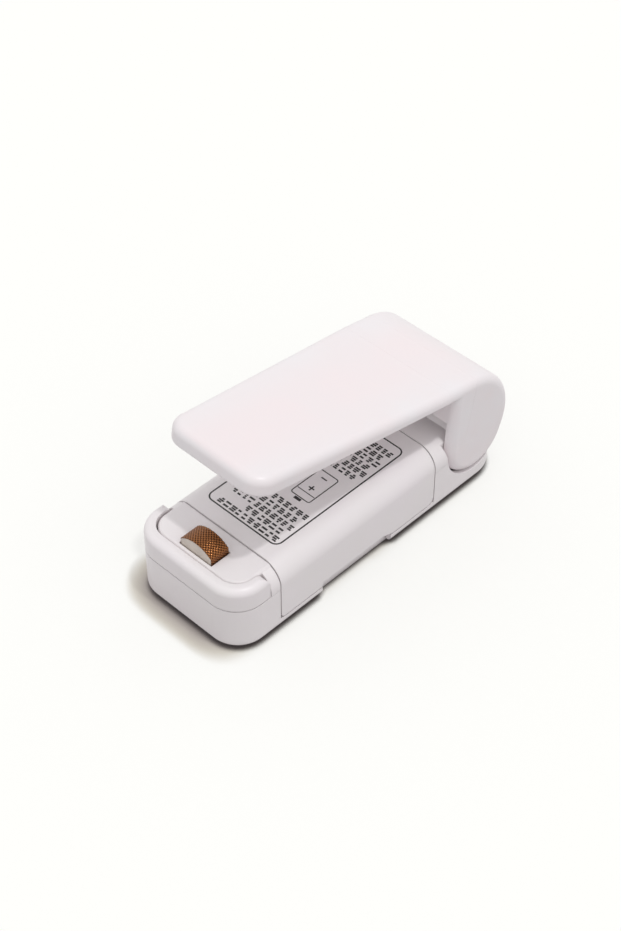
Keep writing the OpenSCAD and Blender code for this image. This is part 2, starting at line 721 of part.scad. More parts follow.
// the leg's section for turning about an axis along X
module leg_turn(r) {
  difference() {
    translate([0, -leg_half]) square([r, leg_width]);
    for (s = [0, 1]) mirror([0, s]) translate([r - lever_edge, leg_half - lever_edge]) corner_cut(lever_edge);
  }
}

module leg_plan(r, w, depth) {
  difference() {
    translate([-w, r - depth]) square([2 * w, depth]);
    for (s = [0, 1]) mirror([s, 0]) translate([w - lever_edge, r - lever_edge]) corner_cut(lever_edge);
  }
}

module lever_hollow() {
  translate([0, 0, 8]) linear_extrude(lever_rise - lever_wall - 8) {
    polygon([[corner_x + tip_radius - lever_wall - 0.1, corner_y], [leg_half - lever_wall - 0.1, liner_b + 2],
      [-leg_half + lever_wall + 0.1, liner_b + 2], [-corner_x - tip_radius + lever_wall + 0.1, corner_y]]);
    translate([-corner_x, tip_y + lever_wall]) square([2 * corner_x, tip_radius]);
    for (s = [-1, 1]) translate([s * corner_x, corner_y]) circle(tip_radius - lever_wall);
  }
  along_x(-half + cheek, half - cheek) {
    circle(shell_in);
    intersection() {
      translate([bend_y, bend_z]) circle(bend_radius - lever_wall);
      polygon([[-shell_in + 0.05, -1], [-shell_in + 0.05, 9], [-shell_in - 0.9, lever_rise - 2.4], [25,
        lever_rise - 2.4],
        [25, -1]]);
    }
    translate([-13.5, -13]) square([22.5, 6.7]);
    translate([-16, -13]) square([8.2, 21]);
  }
}

module lever_shell() {
  color(white) lever_frame() difference() {
    union() {
      difference() {
        lever_solid();
        lever_hollow();
      }
      for (y = liner_screw) let (z = rim_at(y) + 1.8 + seat)
        translate([0, y, z]) cylinder(r = 2.6, h = lever_rise - lever_wall + 0.2 - z);
      for (s = [-1, 1]) along_x(s * 9.5 - 0.6, s * 9.5 + 0.6)
        polygon([[liner_a - 1, rim_at(liner_a - 1) + 1.9], [liner_b + 2.2, rim_at(liner_b + 2.2) + 1.9],
          [liner_b + 2.2, lever_rise - lever_wall + 0.2], [liner_a - 1, lever_rise - lever_wall + 0.2]]);
      box(-1.8, 1.8, -knuckle_radius + 0.1, -shell_in - 0.1, 1.8, 9.2);
    }
    for (y = liner_screw) translate([0, y, 8]) cylinder(r = 1.05, h = lever_rise - lever_wall - 8.4);
    translate([-half + 0.85, 0, 0]) rotate([0, 90, 0]) cylinder(r = pin_radius + 0.01, h = body_width - 1.7);
  }
}

module lever_liner() {
  g = lever_wall + 0.35;
  in_a = corner_x + tip_radius - g + (liner_a - corner_y) * tan(taper);
  in_b = leg_half - g - 0.1;
  color(white) lever_frame() difference() {
    translate([0, corner_y, tip_low + 0.5]) rotate([rim_tilt, 0, 0]) translate([0, -corner_y, 0])
      linear_extrude(1.3)
      polygon([[in_a - 0.2, liner_a], [in_b, liner_b], [-in_b, liner_b], [-in_a + 0.2, liner_a]]);
    for (y = liner_screw) translate([0, y, 8]) cylinder(r = 1.3, h = 12);
    for (y = liner_screw) translate([0, y, 8]) cylinder(r = 2.2, h = rim_at(y) + 0.9 - 8);
  }
}

module liner_screws() {
  color(steel) lever_frame() for (y = liner_screw) let (z = rim_at(y) + 0.95)
    translate([0, y, z - 0.9]) difference() {
      union() {
        cylinder(r = 1.9, h = 0.85);
        cylinder(r = 1, h = lever_rise - lever_wall - 0.6 - (z - 0.9));
      }
      translate([-1.2, -0.2, -0.1]) cube([2.4, 0.4, 0.6]);
      translate([-0.2, -1.2, -0.1]) cube([0.4, 2.4, 0.6]);
    }
}

module pad_holder() {
  color([0.86, 0.85, 0.85]) lever_frame() difference() {
    box(-pad_half - 1.4, pad_half + 1.4, pad_a, pad_b + 1.8, tip_low + 0.4, lever_rise - lever_wall - seat);
    rotate([-shut_angle, 0, 0])
      box(-pad_half - seat, pad_half + seat, pad_a - 3, pad_b - 0.95, pad_plane - 2, pad_plane + 2.6);
  }
}

module presser_pad() {
  color([0.62, 0.62, 0.6]) lever_frame() intersection() {
    rotate([-shut_angle, 0, 0]) box(-pad_half, pad_half, pad_a - 3, pad_b - 1, pad_plane, pad_plane + 2.5);
    box(-half, half, pad_a, pad_b + 1, 0, 30);
  }
}

module housing_screws() {
  color(steel) for (s = [-1, 1]) for (p = [front_boss, rear_boss])
    screw([s * p[0], p[1]], 0.75, parting_height + 3.6, 2.3, 1.1);
}

lower_housing();
front_housing();
rear_housing();
safety_guard();
battery_cover();
heater_block();
heating_strip();
release_cloth();
left_terminal();
right_terminal();
left_lead();
right_lead();
left_cell();
right_cell();
front_plate_contact();
front_spring_contact();
front_coil();
rear_plate_contact();
rear_spring_contact();
rear_coil();
switch_leaf();
return_spring();
hinge_pin();
lever_shell();
lever_liner();
liner_screws();
pad_holder();
presser_pad();
housing_screws();
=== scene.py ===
import math
import random
import bpy
import bmesh
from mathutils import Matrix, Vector


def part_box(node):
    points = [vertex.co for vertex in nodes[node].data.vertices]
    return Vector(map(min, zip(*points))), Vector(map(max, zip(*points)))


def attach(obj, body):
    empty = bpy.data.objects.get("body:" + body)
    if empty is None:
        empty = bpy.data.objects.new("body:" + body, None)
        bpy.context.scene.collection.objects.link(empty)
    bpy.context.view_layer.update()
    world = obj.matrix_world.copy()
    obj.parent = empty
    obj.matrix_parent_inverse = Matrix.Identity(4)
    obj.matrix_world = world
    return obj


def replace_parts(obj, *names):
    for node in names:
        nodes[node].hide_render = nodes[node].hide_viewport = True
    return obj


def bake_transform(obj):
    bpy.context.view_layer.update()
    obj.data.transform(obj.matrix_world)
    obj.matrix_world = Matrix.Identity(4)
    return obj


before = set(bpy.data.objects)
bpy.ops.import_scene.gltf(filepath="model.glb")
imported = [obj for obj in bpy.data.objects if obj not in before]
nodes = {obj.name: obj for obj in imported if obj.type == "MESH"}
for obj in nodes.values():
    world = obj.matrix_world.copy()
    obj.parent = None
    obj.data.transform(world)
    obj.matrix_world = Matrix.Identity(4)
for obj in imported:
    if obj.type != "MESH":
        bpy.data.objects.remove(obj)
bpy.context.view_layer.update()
scene = bpy.context.scene
scene.view_settings.view_transform = "Standard"
mm = 0.001  # the frame is in metres, the sizes below in millimetres
print("frame loaded:", len(nodes), "pieces from the CAD")

# camera at the photograph's angle
cameraLook = {
    "target": (-4.311, -0.546, 16.933),
    "azimuth": 44.299,
    "elevation": 44.393,
    "distance": 502.32,
    "lens": 74.98,
    "sensor": 36.0,
    "clip": (10.0, 20000.0),
}


def makeCamera(look):
    turn = math.radians(look["azimuth"])
    rise = math.radians(look["elevation"])
    back = Vector((math.sin(turn) * math.cos(rise), -math.cos(turn) * math.cos(rise), math.sin(rise)))
    data = bpy.data.cameras.new("photoCamera")
    data.lens = look["lens"]
    data.sensor_width = look["sensor"]
    data.clip_start = look["clip"][0] * mm
    data.clip_end = look["clip"][1] * mm
    camera = bpy.data.objects.new("photoCamera", data)
    camera.location = (Vector(look["target"]) + back * look["distance"]) * mm
    camera.rotation_euler = back.to_track_quat("Z", "Y").to_euler()
    scene.collection.objects.link(camera)
    scene.camera = camera


makeCamera(cameraLook)
print("camera set")


# helpers for shader trees
def newMaterial(name):
    material = bpy.data.materials.new(name)
    material.use_nodes = True
    tree = material.node_tree
    return material, tree, tree.nodes["Principled BSDF"]


def fillSocket(tree, socket, value):
    # a link from another socket, or a plain value
    if isinstance(value, bpy.types.NodeSocket):
        tree.links.new(value, socket)
    else:
        socket.default_value = value


def addNode(tree, kind, settings=None, **values):
    # a value's key is the name of its socket, or i with the socket's number
    node = tree.nodes.new("ShaderNode" + kind)
    for key, value in (settings or {}).items():
        setattr(node, key, value)
    for key, value in values.items():
        numbered = key[0] == "i" and key[1:].isdigit()
        fillSocket(tree, node.inputs[int(key[1:]) if numbered else key], value)
    return node


def newGroup(name, inputs, outputs):
    group = bpy.data.node_groups.new(name, "ShaderNodeTree")
    for label, kind, value in inputs:
        socket = group.interface.new_socket(label, in_out="INPUT", socket_type="NodeSocket" + kind)
        if value is not None:
            socket.default_value = value
    for label, kind in outputs:
        group.interface.new_socket(label, in_out="OUTPUT", socket_type="NodeSocket" + kind)
    return group, group.nodes.new("NodeGroupInput").outputs, group.nodes.new("NodeGroupOutput").inputs


def placeGroup(tree, group, **values):
    node = tree.nodes.new("ShaderNodeGroup")
    node.node_tree = group
    for key, value in values.items():
        fillSocket(tree, node.inputs[key.replace("_", " ")], value)
    return node.outputs


def mathNode(tree, operation, a, b=0.0, c=0.0):
    return addNode(tree, "Math", {"operation": operation}, i0=a, i1=b, i2=c).outputs[0]


def mixColor(tree, mask, a, b):
    return addNode(tree, "Mix", {"data_type": "RGBA"}, i0=mask, i6=a, i7=b).outputs[2]


def noise(tree, at, scale, detail, roughness=0.5):
    return addNode(
        tree, "TexNoise", None, Vector=at, Scale=scale, Detail=detail, Roughness=roughness
    ).outputs[0]


def remap(tree, value, source=(0.0, 1.0), target=(0.0, 1.0), smooth=False):
    limits = {"From Min": source[0], "From Max": source[1], "To Min": target[0], "To Max": target[1]}
    settings = {"interpolation_type": "SMOOTHSTEP" if smooth else "LINEAR"}
    return addNode(tree, "MapRange", settings, Value=value, **limits).outputs[0]


def objectPlace(tree):
    return addNode(tree, "TexCoord").outputs["Object"]


def seenRays(tree):
    # one where the camera, or a reflection, looks at the surface itself
    rays = addNode(tree, "LightPath").outputs
    seen = mathNode(tree, "MAXIMUM", rays["Is Camera Ray"], rays["Is Glossy Ray"])
    return mathNode(tree, "MAXIMUM", seen, rays["Is Transmission Ray"])


# one high lamp for the lever's shadow, and a sky that is a little brighter on the near side
lightLook = {
    "toKey": (0.29, 0.08, 1.0),
    "keyStrength": 0.7,
    "keySpread": 3.0,  # degrees
    "sky": 0.77,
    "skyLean": (0.03, -0.04, 0.03),
    "skyTint": (1, 1, 1, 1),
    "backdrop": 1.0,
    "backdropTint": (1.0, 1.0, 0.975, 1),  # as the floor
}


def makeLights(look):
    data = bpy.data.lights.new("keyLamp", "SUN")
    data.energy = look["keyStrength"]
    data.angle = math.radians(look["keySpread"])
    lamp = bpy.data.objects.new("keyLamp", data)
    lamp.rotation_euler = Vector(look["toKey"]).to_track_quat("Z", "Y").to_euler()
    scene.collection.objects.link(lamp)
    world = bpy.data.worlds.new("studioSky")
    scene.world = world
    world.use_nodes = True
    tree = world.node_tree
    sky = tree.nodes["Background"]
    toward = addNode(tree, "TexCoord").outputs["Generated"]
    lean = addNode(tree, "VectorMath", {"operation": "DOT_PRODUCT"}, i0=toward, i1=look["skyLean"])
    level = mathNode(tree, "ADD", lean.outputs["Value"], look["sky"])
    seen = seenRays(tree)
    tree.links.new(mixColor(tree, seen, look["skyTint"], look["backdropTint"]), sky.inputs["Color"])
    strength = addNode(tree, "Mix", {"data_type": "FLOAT"}, i0=seen, i2=level, i3=look["backdrop"])
    tree.links.new(strength.outputs[0], sky.inputs["Strength"])


makeLights(lightLook)
print("light set")

# moulded plastic: slow clouding of the tint, a fine spark-eroded skin and uneven gloss
skinNoise = {
    "cloudLimits": (0.35, 0.65),
    "patchScale": 190.0,
    "patchLimits": (0.3, 0.7),
}


def makeMouldSkin(look):
    group, given, out = newGroup(
        "mouldSkin",
        [
            ("Tint", "Color", (0.8, 0.8, 0.8, 1)),
            ("Cloud", "Color", (0.7, 0.7, 0.7, 1)),
            ("Cloud Scale", "Float", 40.0),
            ("Grain Scale", "Float", 2600.0),
            ("Gloss Low", "Float", 0.3),
            ("Gloss High", "Float", 0.45),
        ],
        [("Color", "Color"), ("Roughness", "Float"), ("Height", "Float")],
    )
    at = objectPlace(group)
    cloud = noise(group, at, given["Cloud Scale"], 3.0, 0.55)
    grain = noise(group, at, given["Grain Scale"], 2.0, 0.6)
    patch = noise(group, at, look["patchScale"], 4.0, 0.6)
    soft = remap(group, cloud, look["cloudLimits"])
    group.links.new(mixColor(group, soft, given["Tint"], given["Cloud"]), out["Color"])
    gloss = remap(group, patch, look["patchLimits"], (given["Gloss Low"], given["Gloss High"]))
    group.links.new(gloss, out["Roughness"])
    group.links.new(grain, out["Height"])
    return group


# painted shade: darker where two faces meet, from an occlusion mask
shadeHollow = {"samples": 6, "limits": (0.25, 0.85)}


def makeSeamDust(look):
    group, given, out = newGroup(
        "seamDust",
        [
            ("Color", "Color", (0.8, 0.8, 0.8, 1)),
            ("Dust", "Color", (0.5, 0.45, 0.42, 1)),
            ("Reach", "Float", 0.0009),
            ("Amount", "Float", 0.35),
        ],
        [("Color", "Color")],
    )
    # the less open a point is, the more painted shade it gets
    hollow = addNode(group, "AmbientOcclusion", {"samples": look["samples"]}, Distance=given["Reach"])
    bare = remap(group, hollow.outputs["AO"], look["limits"])
    mask = mathNode(group, "MULTIPLY", mathNode(group, "SUBTRACT", 1.0, bare), given["Amount"])
    group.links.new(mixColor(group, mask, given["Color"], given["Dust"]), out["Color"])
    return group


# over-and-under crossing of two yarns, from coordinates in millimetres along the cloth
weaveNoise = {
    "wobbleScale": 0.9,
    "stray": 0.9,  # how far the wobble turns a yarn's wave, in radians
    "fibreScale": 5.2,
    "fibreShare": (0.55, 1.35),
    "fibreRise": 0.15,
    "crestLimits": (0.15, 0.9),
}


def makeWeave(look):
    group, given, out = newGroup(
        "glassWeave",
        [
            ("Vector", "Vector", None),
            ("Pitch", "Float", 0.6),
            ("Crest", "Color", (0.6, 0.35, 0.16, 1)),
            ("Pit", "Color", (0.15, 0.06, 0.02, 1)),
        ],
        [("Color", "Color"), ("Height", "Float"), ("Mask", "Float")],
    )
    place = addNode(group, "SeparateXYZ", None, Vector=given["Vector"]).outputs
    wobble = noise(group, given["Vector"], look["wobbleScale"], 2.0)
    stray = mathNode(group, "MULTIPLY", wobble, look["stray"])
    step = mathNode(group, "DIVIDE", math.pi, given["Pitch"])
    waves = []
    for axis in (0, 1):
        angle = mathNode(group, "MULTIPLY", place[axis], step)
        waves.append(mathNode(group, "SINE", mathNode(group, "ADD", angle, stray)))
    crossing = mathNode(group, "MULTIPLY", waves[0], waves[1])
    height = mathNode(group, "MULTIPLY_ADD", crossing, 0.5, 0.5)  # from 0 in a pit to 1 on a crest
    fibre = noise(group, given["Vector"], look["fibreScale"], 3.0)
    mask = remap(group, height, look["crestLimits"])
    mask = mathNode(group, "MULTIPLY", mask, remap(group, fibre, target=look["fibreShare"]))
    # painted shade: darker toward the pits of the weave; the fibre noise is the yarns' own uneven tone
    group.links.new(mixColor(group, mask, given["Pit"], given["Crest"]), out["Color"])
    fuzz = mathNode(group, "MULTIPLY", fibre, look["fibreRise"])
    group.links.new(mathNode(group, "ADD", height, fuzz), out["Height"])
    group.links.new(mask, out["Mask"])
    return group


# rolled or drawn metal: streaks along one axis
streakNoise = {"stainScale": 260.0, "stainLimits": (0.45, 0.75)}


def makeDrawnMetal(look):
    group, given, out = newGroup(
        "drawnMetal",
        [
            ("Tint", "Color", (0.7, 0.7, 0.7, 1)),
            ("Stain", "Color", (0.5, 0.5, 0.5, 1)),
            ("Stretch", "Vector", (3000.0, 150.0, 3000.0)),
            ("Gloss Low", "Float", 0.22),
            ("Gloss High", "Float", 0.42),
        ],
        [("Color", "Color"), ("Roughness", "Float"), ("Height", "Float")],
    )
    at = objectPlace(group)
    along = addNode(group, "VectorMath", {"operation": "MULTIPLY"}, i0=at, i1=given["Stretch"]).outputs[0]
    streak = noise(group, along, 1.0, 3.0)
    stain = remap(group, noise(group, at, look["stainScale"], 4.0), look["stainLimits"])
    group.links.new(mixColor(group, stain, given["Tint"], given["Stain"]), out["Color"])
    gloss = remap(group, streak, target=(given["Gloss Low"], given["Gloss High"]))
    group.links.new(gloss, out["Roughness"])
    group.links.new(streak, out["Height"])
    return group


mouldSkin = makeMouldSkin(skinNoise)
seamDust = makeSeamDust(shadeHollow)
glassWeave = makeWeave(weaveNoise)
drawnMetal = makeDrawnMetal(streakNoise)
print("surface groups built")

bevelSamples = 6


def bumpInto(tree, shader, height, depth, strength, edge=0.0):
    bump = addNode(tree, "Bump", None, Height=height, Strength=strength, Distance=depth * mm)
    if edge:
        soft = addNode(tree, "Bevel", {"samples": bevelSamples}, Radius=edge * mm)
        tree.links.new(soft.outputs[0], bump.inputs["Normal"])
    tree.links.new(bump.outputs["Normal"], shader.inputs["Normal"])


def footDust(tree, look):
    # more painted shade near the floor than in the seams above
    height = addNode(tree, "SeparateXYZ", None, Vector=objectPlace(tree)).outputs["Z"]
    low, high = look["footHeight"]
    return remap(tree, height, (low * mm, high * mm), (look["footDust"], look["creaseShadeAmount"]))


def mouldedPlastic(name, look, paintedTopLight=None):
    material, tree, shader = newMaterial(name)
    tint = look["tint"]
    # painted light: a second tint over part of the surface
    if paintedTopLight:
        tint = mixColor(tree, paintedTopLight(tree, look), look["tint"], look["paintedTopLight"])
    skin = placeGroup(
        tree, mouldSkin, Tint=tint, Cloud=look["cloud"], Cloud_Scale=look["cloudScale"],
        Grain_Scale=look["grainScale"], Gloss_Low=look["gloss"][0], Gloss_High=look["gloss"][1],
    )
    color = skin["Color"]
    # painted shade in the seams and creases
    if look["creaseShadeAmount"]:
        amount = footDust(tree, look) if "footDust" in look else look["creaseShadeAmount"]
        color = placeGroup(tree, seamDust, Color=color, Dust=look["creaseShade"], Amount=amount)["Color"]
    tree.links.new(color, shader.inputs["Base Color"])
    tree.links.new(skin["Roughness"], shader.inputs["Roughness"])
    bumpInto(tree, shader, skin["Height"], look["grainDepth"], look["grainStrength"], look["edge"])
    shader.inputs["IOR"].default_value = look["ior"]
    return material


def plainMetal(name, look):
    material, tree, shader = newMaterial(name)
    skin = placeGroup(
        tree, drawnMetal, Tint=look["tint"], Stain=look["stain"], Stretch=look["stretch"],
        Gloss_Low=look["gloss"][0], Gloss_High=look["gloss"][1],
    )
    tree.links.new(skin["Color"], shader.inputs["Base Color"])
    tree.links.new(skin["Roughness"], shader.inputs["Roughness"])
    bumpInto(tree, shader, skin["Height"], look["grainDepth"], look["grainStrength"])
    shader.inputs["Metallic"].default_value = 1.0
    return material


def dress(material, *names):
    for name in names:
        piece = nodes[name]
        piece.data.materials.clear()
        piece.data.materials.append(material)


# white shells
whiteLook = {
    "tint": (0.9, 0.85, 0.87, 1),
    "cloud": (0.89, 0.85, 0.855, 1),
    "cloudScale": 55.0,
    "grainScale": 2600.0,
    "grainDepth": 0.012,
    "grainStrength": 0.5,
    "edge": 0.3,  # how far the corners are softened
    "gloss": (0.3, 0.42),
    # colour and amount of the painted shade in creases
    "creaseShade": (0.46, 0.37, 0.33, 1),
    "creaseShadeAmount": 0.12,
    "ior": 1.5,
}
dress(mouldedPlastic("whiteShell", whiteLook), "front_housing", "rear_housing", "safety_guard")

# tray: the most painted shade, in the step under its edge
trayLook = dict(whiteLook, creaseShade=(0.2, 0.17, 0.16, 1), footDust=0.9, footHeight=(2.0, 4.0))
dress(mouldedPlastic("whiteTray", trayLook), "lower_housing")

# lever: the same white, with painted light on the middle of its top face: a warmer tint that fades out before
# the rims
leverLook = dict(
    whiteLook,
    tint=(0.89, 0.855, 0.875, 1),
    cloud=(0.9, 0.83, 0.845, 1),
    paintedTopLight=(0.92, 0.825, 0.84, 1),
    topTilt=10.3,  # of the top, in degrees
    topRise=20.3,  # of the top over the hinge
    fieldHalf=(4.0, 17.0),  # half width at which the painted top light starts to fade, and has gone
    fieldDepth=(1.6, 0.3),  # under the top, where the painted top light starts and is full
    creaseShadeAmount=0.0,
    edge=0.0,
)


def paintedTopField(tree, look):
    pinLow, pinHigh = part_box("hinge_pin")
    tilt = math.radians(look["topTilt"])
    up = Vector((0.0, math.sin(tilt), math.cos(tilt)))
    top = up.dot((pinLow + pinHigh) / 2) + look["topRise"] * mm
    at = objectPlace(tree)
    level = addNode(tree, "VectorMath", {"operation": "DOT_PRODUCT"}, i0=at, i1=up).outputs["Value"]
    deep, shallow = look["fieldDepth"]
    onTop = remap(tree, level, (top - deep * mm, top - shallow * mm), smooth=True)
    across = mathNode(tree, "ABSOLUTE", addNode(tree, "SeparateXYZ", None, Vector=at).outputs["X"])
    inner, outer = look["fieldHalf"]
    inside = remap(tree, across, (outer * mm, inner * mm), smooth=True)
    return mathNode(tree, "MULTIPLY", onTop, inside)


dress(mouldedPlastic("whiteLever", leverLook, paintedTopField), "lever_shell")

# cover, and the matt pieces under the lever
coverLook = dict(whiteLook, grainScale=2400.0)
dress(mouldedPlastic("whiteCover", coverLook), "battery_cover")
linerLook = dict(whiteLook, tint=(0.89, 0.86, 0.86, 1), gloss=(0.45, 0.6), grainScale=1700.0, grainDepth=0.03)
dress(mouldedPlastic("whiteLiner", linerLook), "lever_liner")
holderLook = dict(linerLook, tint=(0.76, 0.73, 0.74, 1))
dress(mouldedPlastic("padHolder", holderLook), "pad_holder")
print("white shells dressed")

# grey heat-proof block and the silicone pad
blockLook = dict(
    whiteLook, tint=(0.74, 0.67, 0.6, 1), cloud=(0.66, 0.6, 0.54, 1), cloudScale=420.0, gloss=(0.5, 0.68),
    grainScale=3200.0, grainDepth=0.03,
)
dress(mouldedPlastic("heatProofGrey", blockLook), "heater_block")
padLook = dict(
    whiteLook, tint=(0.42, 0.41, 0.4, 1), cloud=(0.36, 0.35, 0.34, 1), cloudScale=300.0, gloss=(0.62, 0.8),
    grainScale=3600.0, grainDepth=0.04,
)
dress(mouldedPlastic("siliconeGrey", padLook), "presser_pad")
print("block and pad dressed")

# metals
steelLook = {
    "tint": (0.72, 0.72, 0.73, 1),
    "stain": (0.6, 0.6, 0.61, 1),
    "stretch": (3000.0, 150.0, 3000.0),
    "gloss": (0.22, 0.4),
    "grainDepth": 0.004,
    "grainStrength": 0.35,
}
screwLook = dict(steelLook, stretch=(900.0, 900.0, 300.0), gloss=(0.28, 0.48))
pinLook = dict(steelLook, stretch=(150.0, 2600.0, 2600.0), gloss=(0.16, 0.3))
ribbonLook = dict(steelLook, tint=(0.5, 0.46, 0.43, 1), stain=(0.32, 0.27, 0.25, 1))
brassLook = dict(steelLook, tint=(0.76, 0.58, 0.28, 1), stain=(0.6, 0.42, 0.18, 1))
springLook = dict(steelLook, stretch=(2000.0, 2000.0, 2000.0), gloss=(0.18, 0.34))
bronzeLook = dict(brassLook, tint=(0.72, 0.47, 0.28, 1), stain=(0.6, 0.36, 0.2, 1))
dress(
    plainMetal("contactSteel", steelLook),
    "front_plate_contact", "front_spring_contact", "rear_plate_contact", "rear_spring_contact",
)
dress(plainMetal("screwSteel", screwLook), "liner_screws", "housing_screws")
dress(plainMetal("pinSteel", pinLook), "hinge_pin")
dress(plainMetal("ribbonMetal", ribbonLook), "heating_strip")
dress(plainMetal("brassPlain", brassLook), "left_terminal", "right_terminal")
springSteel = plainMetal("springSteel", springLook)
leafBronze = plainMetal("leafBronze", bronzeLook)
print("metals dressed")

# cells in a printed sleeve: a dark body with a copper band at the nub end
cellLook = {
    "body": (0.05, 0.055, 0.06, 1),
    "band": (0.62, 0.32, 0.14, 1),
    "bandLength": 13.0,
    "cap": (0.72, 0.72, 0.72, 1),
    "capStain": (0.55, 0.55, 0.55, 1),
    "bareNub": 2.6,  # bare metal at the nub end
    "bareBase": 0.8,  # and at the other end
    "sleeveMetal": 0.25,
    "grainDepth": 0.003,
    "grainStrength": 0.2,
}


def cellSleeve(name, look, low, high, nubAtLow):
    material, tree, shader = newMaterial(name)
    y = addNode(tree, "SeparateXYZ", None, Vector=objectPlace(tree)).outputs["Y"]
    fromNub = mathNode(tree, "SUBTRACT", y, low) if nubAtLow else mathNode(tree, "SUBTRACT", high, y)
    banded = mathNode(tree, "LESS_THAN", fromNub, look["bandLength"] * mm)
    pastNub = mathNode(tree, "GREATER_THAN", fromNub, look["bareNub"] * mm)
    beforeBase = mathNode(tree, "LESS_THAN", fromNub, high - low - look["bareBase"] * mm)
    sleeved = mathNode(tree, "MULTIPLY", pastNub, beforeBase)
    streaks = placeGroup(tree, drawnMetal, Tint=look["cap"], Stain=look["capStain"])
    sleeve = mixColor(tree, banded, look["body"], look["band"])
    tree.links.new(mixColor(tree, sleeved, streaks["Color"], sleeve), shader.inputs["Base Color"])
    tree.links.new(remap(tree, sleeved, target=(1.0, look["sleeveMetal"])), shader.inputs["Metallic"])
    tree.links.new(streaks["Roughness"], shader.inputs["Roughness"])
    bumpInto(tree, shader, streaks["Height"], look["grainDepth"], look["grainStrength"])
    return material


for cell, nubAtLow in (("right_cell", True), ("left_cell", False)):
    cellLow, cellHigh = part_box(cell)
    dress(cellSleeve(cell + "Sleeve", cellLook, cellLow.y, cellHigh.y, nubAtLow), cell)
print("cells dressed")


# helpers for new pieces
def newPiece(name, mesh, material, body):
    piece = bpy.data.objects.new(name, mesh)
    scene.collection.objects.link(piece)
    mesh.materials.append(material)
    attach(piece, body)
    return piece


def bridgeRings(bm, rings, closed=False, smooth=False):
    # quads from ring to ring, with a cap on both ends unless the last ring meets the first
    count = len(rings[0])
    for one, two in zip(rings, rings[1:] + rings[:1] if closed else rings[1:]):
        for k in range(count):
            after = (k + 1) % count
            bm.faces.new((one[k], one[after], two[after], two[k])).smooth = smooth
    if not closed:
        bm.faces.new(rings[0][::-1])
        bm.faces.new(rings[-1])


def meshFrom(bm, name):
    bmesh.ops.recalc_face_normals(bm, faces=bm.faces)
    mesh = bpy.data.meshes.new(name)
    bm.to_mesh(mesh)
    bm.free()
    return mesh


def tubeMesh(name, path, radius, sides):
    # round wires and insulated leads: a closed tube along a path
    bm = bmesh.new()
    rings = []
    side = None
    for i, point in enumerate(path):
        ahead = (path[min(i + 1, len(path) - 1)] - path[max(i - 1, 0)]).normalized()
        if side is None:
            side = ahead.orthogonal().normalized()
        side = (side - ahead * side.dot(ahead)).normalized()
        other = ahead.cross(side)
        ring = []
        for k in range(sides):
            turn = 2 * math.pi * k / sides
            ring.append(bm.verts.new(point + (side * math.cos(turn) + other * math.sin(turn)) * radius))
        rings.append(ring)
    bridgeRings(bm, rings, smooth=True)
    return meshFrom(bm, name)


# switch leaf: a flat blade from its seated end to its tongue, close to the fixed contact
leafLook = {
    "thick": 0.1,
    # distance from the seated end, and the left and right edges there
    "outline": (
        (0.0, -2.2, 4.0), (3.1, -2.2, 4.0), (3.5, -2.2, 2.2),
        (6.2, -2.2, 2.2), (6.5, -1.0, 2.2), (8.9, -1.0, 2.2),
    ),
    "tip": (-0.7, 1.9),  # left and right edges at the free end
    "step": 0.15,
    "bendFrom": 3.55,
    "bendReach": 7.25,
}


def makeLeaf(look):
    low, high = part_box("switch_leaf")
    length = (high.y - low.y) / mm
    outline = look["outline"] + ((length, *look["tip"]),)
    thick = look["thick"]
    bm = bmesh.new()
    rings = []
    for here, ahead in zip(outline, outline[1:]):
        parts = max(1, round((ahead[0] - here[0]) / look["step"]))
        for i in range(parts if ahead is not outline[-1] else parts + 1):
            along, left, right = (a + (b - a) * i / parts for a, b in zip(here, ahead))
            corners = ((left, thick), (right, thick), (right, 0.0), (left, 0.0))
            rings.append([bm.verts.new((x * mm, low.y + along * mm, low.z + z * mm)) for x, z in corners])
    bridgeRings(bm, rings)
    mesh = meshFrom(bm, "switch_leaf_blade")
    mesh.materials.append(leafBronze)
    leaf = bpy.data.objects.new("switch_leaf_blade", mesh)
    scene.collection.objects.link(leaf)
    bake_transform(leaf)
    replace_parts(leaf, "switch_leaf")


makeLeaf(leafLook)
print("switch leaf cut")

# cell springs: conical, the wide end on the contact plate
cellSpring = {"wide": 4.6, "narrow": 2.6, "turns": 3, "wire": 0.6, "steps": 40, "sides": 12}


def makeCellSpring(node, cell, look, dirY):
    low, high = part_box(node)
    cellLow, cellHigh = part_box(cell)
    axis = (cellLow + cellHigh) / 2
    radius = look["wire"] / 2 * mm
    start = (low.y + radius) if dirY > 0 else (high.y - radius)
    reach = (high.y - low.y - 2 * radius) * dirY
    path = []
    total = look["turns"] * look["steps"]
    for i in range(total + 1):
        t = i / total
        r = (look["wide"] + (look["narrow"] - look["wide"]) * t) * mm
        a = 2 * math.pi * look["turns"] * t
        path.append(Vector((axis.x + r * math.cos(a), start + reach * t, axis.z + r * math.sin(a))))
    mesh = tubeMesh(node + "_wire", path, radius, look["sides"])
    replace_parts(newPiece(node + "_wire", mesh, springSteel, "base"), node)


makeCellSpring("front_coil", "left_cell", cellSpring, 1)
makeCellSpring("rear_coil", "right_cell", cellSpring, -1)
print("cell springs wound")

# return spring: a torsion coil round the pin, one leg on the housing and one on the lever's back
returnSpring = {
    "turns": 4.375,
    "turnsLeft": 2.0,  # of the middle plane
    "pitch": 1.3,
    "radius": 3.2,
    "wire": 0.8,
    "from": 200.0,  # degrees
    "steps": 48,
    "sides": 12,
    "legIn": (-0.06, -1.08, -6.6),
    "legInSteps": 6,
    "legOut": (0.04, 4.2, 2.6),
    "legOutSteps": 4,
}


